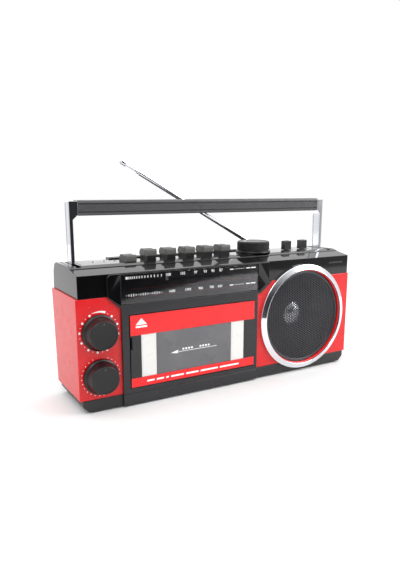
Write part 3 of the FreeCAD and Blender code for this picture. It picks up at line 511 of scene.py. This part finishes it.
def make_grille():
    """A perforated disc: a hexagonal net with round holes, slightly domed, in a plain rim."""
    low, high = box_mm("speaker_grille")
    middle = (low + high) / 2
    radius = (high.x - low.x) / 2
    pitch = 2.55
    hole = 0.98
    cell = pitch / math.sqrt(3)
    across = pitch * math.sqrt(3) / 2
    build = bmesh.new()
    columns = int(radius / across) + 1
    rows = int(radius / pitch) + 1
    for column in range(-columns, columns + 1):
        for row in range(-rows, rows + 1):
            u = column * across
            v = (row + 0.5 * (column % 2)) * pitch
            if math.hypot(u, v) > radius - 2.2:
                continue
            corners = [build.verts.new((u + cell * math.cos(turn), v + cell * math.sin(turn), 0))
                       for turn in (math.pi / 3 * step for step in range(6))]
            rim = [build.verts.new((u + hole * math.cos(turn), v + hole * math.sin(turn), 0))
                   for turn in (math.pi / 6 * step for step in range(12))]
            for step in range(6):
                after = (step + 1) % 6
                build.faces.new((corners[step], corners[after], rim[2 * after],
                                 rim[2 * step + 1], rim[2 * step]))
    bmesh.ops.remove_doubles(build, verts=build.verts, dist=0.01)
    sheet = bmesh.ops.extrude_face_region(build, geom=build.faces[:])
    backs = [vert for vert in sheet["geom"] if isinstance(vert, bmesh.types.BMVert)]
    bmesh.ops.translate(build, vec=(0, 0, 0.6), verts=backs)
    for vert in build.verts:
        vert.co.z += 1.9 * (1 - (vert.co.xy.length / radius) ** 2)
    placed(build.verts, "front", (middle.x, high.y, middle.z))
    rim = [(radius - 2.6, 0), (radius, 0), (radius, 0.9), (radius - 0.5, 1.2), (radius - 2.2, 1.2),
           (radius - 2.6, 0.9)]
    add_turned(build, rim, "front", (middle.x, high.y, middle.z), 128)
    make("speaker_grille_skin", build, "cabinet", "black_mesh", ["speaker_grille"], sharp=40)
    felt = bmesh.new()
    add_turned(felt, [(radius - 5.4, 0.02), (radius - 2.7, 0.02), (radius - 2.7, 0.2), (radius - 5.4, 0.2)],
               "front", (middle.x, high.y, middle.z), 96)
    make("grille_felt", felt, "cabinet", "paper_cone")


# ---------------------------------------------------------------- knobs and keys

def make_front_knob(node):
    """A fluted, tapered knob with a short index line."""
    low, high = box_mm(node)
    middle = (low + high) / 2
    tall = high.y - low.y
    profile = [(0, 0), (16, 0), (16, 2.0), (15.7, 2.4), (14.9, 2.6), (14.6, 2.9), (14.5, 3.3),
               (14.4, 3.6), (12.7, tall - 1.1), (12.65, tall - 0.8), (12.4, tall - 0.3), (11.9, tall),
               (11.2, tall - 0.05), (10.8, tall - 0.3), (0, tall - 0.35)]
    build = bmesh.new()
    add_turned(build, profile, "front", (middle.x, high.y, middle.z), 288, (72, 0.28, 3.5, tall - 1.0))
    make(node + "_skin", build, BODIES[node], "knob_black", [node], sharp=60)
    mark = bmesh.new()
    add_prism(mark, rectangle((-0.25, 8.8), (0.25, 10.4)), tall - 0.4, tall - 0.28, "front",
              (middle.x, high.y, middle.z))
    make(node + "_index", mark, BODIES[node], "key_grey")


def make_knob_dots():
    """Printed dots round the two knobs: large and small in turn, and a fine scale below."""
    build = bmesh.new()
    front = box_mm("front_cabinet")[0].y
    for node, reach, count, sizes, gap in (("volume_knob", 17.6, 22, (1.0, 0.38), 0.95),
                                           ("bass_knob", 17.5, 24, (0.4, 0.4), 0.8)):
        low, high = box_mm(node)
        middle = (low + high) / 2
        for index in range(count):
            turn = math.pi / 2 + gap / 2 + (2 * math.pi - gap) * index / (count - 1)
            spot = (reach * math.cos(turn), reach * math.sin(turn))
            add_print(build, disc(spot, sizes[index % 2]), (middle.x, front, middle.z))
    low, high = box_mm("volume_knob")
    middle = (low + high) / 2
    # a curved mark over the volume knob that widens to one end
    wedge = []
    for edge, order in ((1, range(13)), (-1, range(12, -1, -1))):
        for step in order:
            turn = math.pi / 2 + 0.34 - 0.68 * step / 12
            reach = 18.3 + edge * (0.12 + 0.9 * step / 12)
            wedge.append((reach * math.cos(turn), reach * math.sin(turn)))
    add_print(build, wedge[::-1], (middle.x, front, middle.z))
    make("knob_dots", build, "cabinet", "white_plastic", finish="white_ink")


def make_tuning_knob():
    low, high = box_mm("tuning_knob")
    middle = (low + high) / 2
    tall = high.z - low.z
    profile = [(0, 0), (18.2, 0), (18.2, 1.2), (17.9, 1.6), (16.4, 1.8), (16.4, 2.7), (17.0, 2.9),
               (17.15, 3.3), (17.15, tall - 1.5), (16.9, tall - 0.9), (16.3, tall - 0.25), (15.6, tall),
               (14.6, tall - 0.05), (14.2, tall - 0.35), (0, tall - 0.5)]
    build = bmesh.new()
    add_turned(build, profile, "top", (middle.x, middle.y, low.z), 384, (96, 0.35, 3.2, tall - 1.4))
    make("tuning_knob_skin", build, "tuning_knob", "knob_black", ["tuning_knob"], sharp=60)


def make_key(node):
    """A saddle-topped cap with a separate front plate, over a narrower dark stem."""
    low, high = box_mm(node)
    top = high.z
    cap_low = top - 6.4
    gap = low.y + 3.6
    plate = [(low.y + 0.5, cap_low), (low.y + 0.05, cap_low + 0.7), (low.y, top - 2.2),
             (low.y + 0.4, top - 0.8), (low.y + 1.3, top - 0.05), (gap - 0.8, top - 0.1),
             (gap - 0.1, top - 1.0), (gap - 0.1, cap_low)]
    body = [(gap + 0.7, cap_low), (gap + 0.7, top - 1.6), (gap + 1.6, top - 0.75), (high.y - 6, top - 0.3),
            (high.y - 4.2, top - 0.1), (high.y - 2.2, top - 0.9), (high.y - 0.7, top - 2.6),
            (high.y, top - 4.6), (high.y, cap_low + 0.4), (high.y - 0.4, cap_low)]
    build = bmesh.new()
    for outline in (plate, body):
        add_prism(build, outline, low.x, high.x, "right")
    round_edges(build, 0.35, 3, sharp=60)
    make(node + "_skin", build, BODIES[node], "key_grey", [node])
    stem = [(low.y + 0.9, low.z), (low.y + 0.9, cap_low + 0.3), (gap - 0.6, cap_low + 0.3),
            (gap - 0.6, top - 1.9), (gap + 1.2, top - 1.9), (gap + 1.2, cap_low + 0.3),
            (high.y - 0.8, cap_low + 0.3), (high.y - 0.8, low.z)]
    core = bmesh.new()
    add_prism(core, stem[::-1], low.x + 0.5, high.x - 0.5, "right")
    make(node + "_stem", core, BODIES[node], "key_grey", finish="knob_black")


def make_switch_cap(node):
    """A slide cap with rounded upper edges and three ridges across its top."""
    low, high = box_mm(node)
    build = from_node(node)
    round_edges(build, 0.9, 3, keep=lambda edge: min(v.co.z for v in edge.verts) > high.z - 9)
    top = high.z - 0.35
    for index in (-1, 0, 1):
        across = (low.x + high.x) / 2 + index * 1.9
        ridge = rectangle((across - 0.35, low.y + 1.2), (across + 0.35, high.y - 1.2))
        add_prism(build, ridge, top, high.z + 0.1)
    make(node + "_skin", build, BODIES[node], SLOTS[node], [node])


def make_lamps():
    """Small domed lenses in bright rings, set in the deck."""
    low, high = box_mm("indicator_lamps")
    lenses = bmesh.new()
    rings = bmesh.new()
    lens = [(0, 0), (1.25, 0), (1.25, 0.9), (0.9, 1.3), (0.45, 1.5), (0, 1.55)]
    ring = [(1.3, 0.6), (1.9, 0.6), (1.85, 0.95), (1.5, 1.05), (1.3, 0.95)]
    for index in range(3):
        across = low.x + 1.25 + index * (high.x - low.x - 2.5) / 2
        origin = (across, (low.y + high.y) / 2, high.z - 1.2)
        add_turned(lenses, lens, "top", origin, 24)
        add_turned(rings, ring, "top", origin, 24)
    make("indicator_lamps_skin", lenses, "cabinet", "lamp_red", ["indicator_lamps"])
    make("lamp_rings", rings, "cabinet", "chrome_trim")


# ---------------------------------------------------------------- cassette door

def make_door():
    refine("cassette_door", 0.3, 2, longest=1.5, whole=False)
    refine("door_trim", 0.22, 2, whole=False)
    refine("door_window", 0.2, 2, finish="hazy_clear")
    low, high = box_mm("door_strips")
    pane_low, pane_high = box_mm("door_window")
    build = bmesh.new()
    for left, right in ((low.x, pane_low.x), (pane_high.x, high.x)):
        whole = rectangle((left + 0.1, low.z + 0.05), (right - 0.1, high.z - 0.05))
        panel = rectangle((left + 1.3, low.z + 1.2), (right - 1.3, high.z - 1.2))
        add_prism(build, whole, -1.2, -0.35, "front", (0, low.y, 0))
        add_prism(build, rounded(panel, 0.6, 3), -0.4, -0.12, "front", (0, low.y, 0))
    round_edges(build, 0.12, 2)
    make("door_strips_skin", build, "door", "white_plastic", ["door_strips"])
    make_door_marks(pane_low, pane_high)


def make_door_marks(pane_low, pane_high):
    """The eject mark, a row of slanted bars below the window, and the tape arrow on it."""
    trim_low, trim_high = box_mm("door_trim")
    on_trim = (0, trim_low.y, 0)
    build = bmesh.new()
    left = trim_low.x + 5.2
    base = trim_high.z - 11.6
    add_print(build, [(left, base + 2.6), (left + 11, base + 2.6), (left + 5.5, base + 8.4)], on_trim)
    add_print(build, rectangle((left, base), (left + 11, base + 1.6)), on_trim)
    start = trim_low.x + 15
    bar = (trim_low.z + pane_low.z) / 2
    for length in (7.2, 7.2, 2.6, 13.4, 13.6, 19.4, 22.2):
        end = start + length
        outline = [(start, bar - 0.8), (end, bar - 0.8), (end + 0.5, bar + 0.8), (start + 0.5, bar + 0.8)]
        add_print(build, outline, on_trim)
        start = end + 2.5
    make("door_marks", build, "door", "white_plastic", finish="white_ink")
    arrow = bmesh.new()
    on_pane = (0, pane_low.y, 0)
    middle = (pane_low.z + pane_high.z) / 2 - 1.5
    tip = pane_low.x + 14.5
    head = [(tip, middle - 0.3), (tip + 8, middle - 1.4), (tip + 6.8, middle), (tip + 8, middle + 1.9)]
    add_print(arrow, head, on_pane, THIN_INK)
    add_print(arrow, rectangle((tip + 6, middle - 0.25), (tip + 50, middle + 0.15)), on_pane, THIN_INK)
    for index in (2, 3, 4, 5, 8, 9, 10, 11):
        across = tip + 6 + index * 3.1
        add_print(arrow, rectangle((across, middle + 1.3), (across + 1.9, middle + 2.9)), on_pane, THIN_INK)
    make("window_arrow", arrow, "door", "white_plastic", finish="white_ink")


# ---------------------------------------------------------------- handle and aerial

def grip_outline(low, high):
    """The bar's section, with fine flutes on its front and back faces between two deeper grooves."""
    tall = high.z - low.z
    grooves = [(3.0, 0.75, 1.3), (tall - 3.3, 0.75, 1.3)]
    grooves += [(4.6 + 0.85 * index, 0.2, 0.3) for index in range(6)]
    grooves.sort()
    side = [(0.9, 0.0)]
    for middle, half, deep in grooves:
        side += [(middle - half, 0.0), (middle - half * 0.5, deep), (middle + half * 0.5, deep),
                 (middle + half, 0.0)]
    side.append((tall - 0.9, 0.0))
    front = [(low.y + deep, low.z + up) for up, deep in side]
    back = [(high.y - deep, low.z + up) for up, deep in reversed(side)]
    below = [(high.y - 0.9, low.z), (low.y + 0.9, low.z)]
    above = [(low.y + 0.9, high.z), (high.y - 0.9, high.z)]
    return below + front + above + back


def make_handle():
    low, high = box_mm("handle_grip")
    build = bmesh.new()
    add_prism(build, grip_outline(low, high)[::-1], low.x, high.x, "right")
    make("handle_grip_skin", build, "handle", "knob_black", ["handle_grip"], finish="grip_grey", sharp=60)
    for node in ("left_handle_arm", "right_handle_arm"):
        make_arm(node)


def make_arm(node):
    """A flat plated strap with a fine groove round its broad faces."""
    build = from_node(node)
    broad = [face for face in build.faces if abs(face.normal.x) > 0.99 and face.calc_area() > 400]
    bmesh.ops.inset_region(build, faces=broad, thickness=1.6, use_even_offset=True)
    bmesh.ops.inset_region(build, faces=broad, thickness=0.25, depth=-0.3, use_even_offset=True)
    round_edges(build, 0.35, 2, longest=3)
    make(node + "_skin", build, "handle", "chrome_trim", [node])


def make_aerial():
    """The outer tube with a groove near its end, and the innermost rod with its stepped tip."""
    along = Vector(JOINTS["aerial_extend_outer"]["axis"]).normalized()
    pivot = Vector(JOINTS["aerial_tilt"]["pos_m"]) / MM
    side = Vector((0, 1, 0))
    turn = Matrix((side.cross(along), side, along)).transposed()
    tube_end = 158.1
    tube = bmesh.new()
    add_turned(tube, [(2.36, 6), (3, 6), (3, tube_end - 3.2), (2.75, tube_end - 2.9),
                      (2.75, tube_end - 2.3), (3, tube_end - 2.0), (3, tube_end - 0.3),
                      (2.8, tube_end), (2.36, tube_end)], turn, pivot, 40)
    make("aerial_tube_sleeve", tube, "aerial_outer", "chrome_trim")
    knuckle = from_node("aerial_tube")
    make("aerial_tube_skin", knuckle, "aerial_outer", "chrome_trim", ["aerial_tube"], sharp=30)
    tip_low = 173.0
    rod = bmesh.new()
    add_turned(rod, [(0, 16), (1.1, 16), (1.1, tip_low), (2.6, tip_low + 0.5), (3.0, tip_low + 1.0),
                     (3.0, tip_low + 2.2), (2.6, tip_low + 2.5), (2.6, tip_low + 2.9), (3.0, tip_low + 3.2),
                     (3.0, tip_low + 6.2), (2.5, tip_low + 7.2), (1.4, tip_low + 7.6), (0, tip_low + 7.7)],
               turn, pivot, 40)
    make("aerial_rod_skin", rod, "aerial_inner", "chrome_trim", ["aerial_rod"])


# ---------------------------------------------------------------- the CAD nodes that stay, and the stage

def finish_kept_nodes():
    for node, item in NODES.items():
        if item.hide_render:
            continue
        item.data.materials.clear()
        item.data.materials.append(MATERIALS[SLOTS[node]])


def make_floor():
    """A pale sheet under and behind the object, cut on a slant in front of it."""
    build = bmesh.new()
    sheet = [(-0.9, -0.02), (0.38, -0.64), (0.9, -0.6), (1.2, 1.5), (-1.2, 1.5)]
    add_prism(build, rounded(sheet, 0.08), -0.02, 0)
    mesh = bpy.data.meshes.new("floor")
    build.to_mesh(mesh)
    floor = bpy.data.objects.new("floor", mesh)
    bpy.context.scene.collection.objects.link(floor)
    paint = surface("floor_paint", (0.7, 0.7, 0.7), 0.95, mottle=0.005, grain=0.0, grain_size=3)
    mesh.materials.append(paint)


def make_world():
    """Bright all round, brightest above, dimmer at the left, with a soft dark patch low in front."""
    world = bpy.data.worlds.new("studio")
    bpy.context.scene.world = world
    world.use_nodes = True
    tree = world.node_tree
    place = tree.nodes.new("ShaderNodeTexCoord")
    toward = tree.nodes.new("ShaderNodeVectorMath")
    toward.operation = "DOT_PRODUCT"
    toward.inputs[1].default_value = Vector((0.139, -0.99, -0.03)).normalized()
    tree.links.new(place.outputs["Generated"], toward.inputs[0])
    patch = spread(tree, toward.outputs["Value"], 0, 1, 0.69, 0.955)
    parts = tree.nodes.new("ShaderNodeSeparateXYZ")
    tree.links.new(place.outputs["Generated"], parts.inputs["Vector"])
    height = spread(tree, parts.outputs["Z"], 0, 1, 0.22, 0.64)
    sky = two_tone(tree, height, (0.92, 0.92, 0.93), (1.8, 1.8, 1.8))
    shade = spread(tree, parts.outputs["X"], 0, 1, -0.98, -0.7)
    sky = two_tone(tree, shade, (0.35, 0.35, 0.36), sky)
    tone = two_tone(tree, patch, sky, (0.03, 0.03, 0.035))
    straight = tree.nodes.new("ShaderNodeLightPath")
    seen = two_tone(tree, straight.outputs["Is Camera Ray"], tone, (1, 1, 1))
    backdrop = tree.nodes["Background"]
    backdrop.inputs["Strength"].default_value = 1.0
    tree.links.new(seen, backdrop.inputs["Color"])


def add_lamp(name, place, aim, size, power):
    light = bpy.data.lights.new(name, "AREA")
    light.shape = "RECTANGLE"
    light.size, light.size_y = size
    light.energy = power
    lamp = bpy.data.objects.new(name, light)
    lamp.location = place
    lamp.rotation_euler = (Vector(aim) - Vector(place)).to_track_quat("-Z", "Y").to_euler()
    bpy.context.scene.collection.objects.link(lamp)


def make_lights():
    aim = (0, 0, 0.1)
    add_lamp("key_light", (-0.9, -1.0, 1.5), aim, (0.8, 0.8), 9)
    add_lamp("right_light", (0.95, -0.75, 0.6), (0.1, 0, 0.08), (0.7, 0.7), 8)
    add_lamp("back_light", (0.3, 1.6, 0.45), aim, (3.0, 0.6), 2.5)


def make_camera():
    data = bpy.data.cameras.new("camera")
    data.sensor_width = 36
    data.lens = 34.02
    data.shift_x = -0.0040
    data.shift_y = 0.0321
    data.clip_start = 0.01
    camera = bpy.data.objects.new("camera", data)
    camera.location = (-0.28730, -0.46095, 0.19140)
    camera.rotation_euler = (math.radians(78.28), 0, math.radians(-30.47))
    bpy.context.scene.collection.objects.link(camera)
    bpy.context.scene.camera = camera


make_housing()
make_microphone_slot()
make_battery_door_marks()
make_dial()
make_speaker_ring()
make_grille()
for knob in ("volume_knob", "bass_knob"):
    make_front_knob(knob)
make_knob_dots()
make_tuning_knob()
for node_name in NODES:
    if node_name.endswith("_key"):
        make_key(node_name)
for cap_name in ("function_switch_cap", "band_switch_cap"):
    make_switch_cap(cap_name)
make_lamps()
make_door()
make_handle()
make_aerial()
finish_kept_nodes()
make_floor()
make_world()
make_lights()
make_camera()
bpy.context.scene.view_settings.view_transform = "Standard"
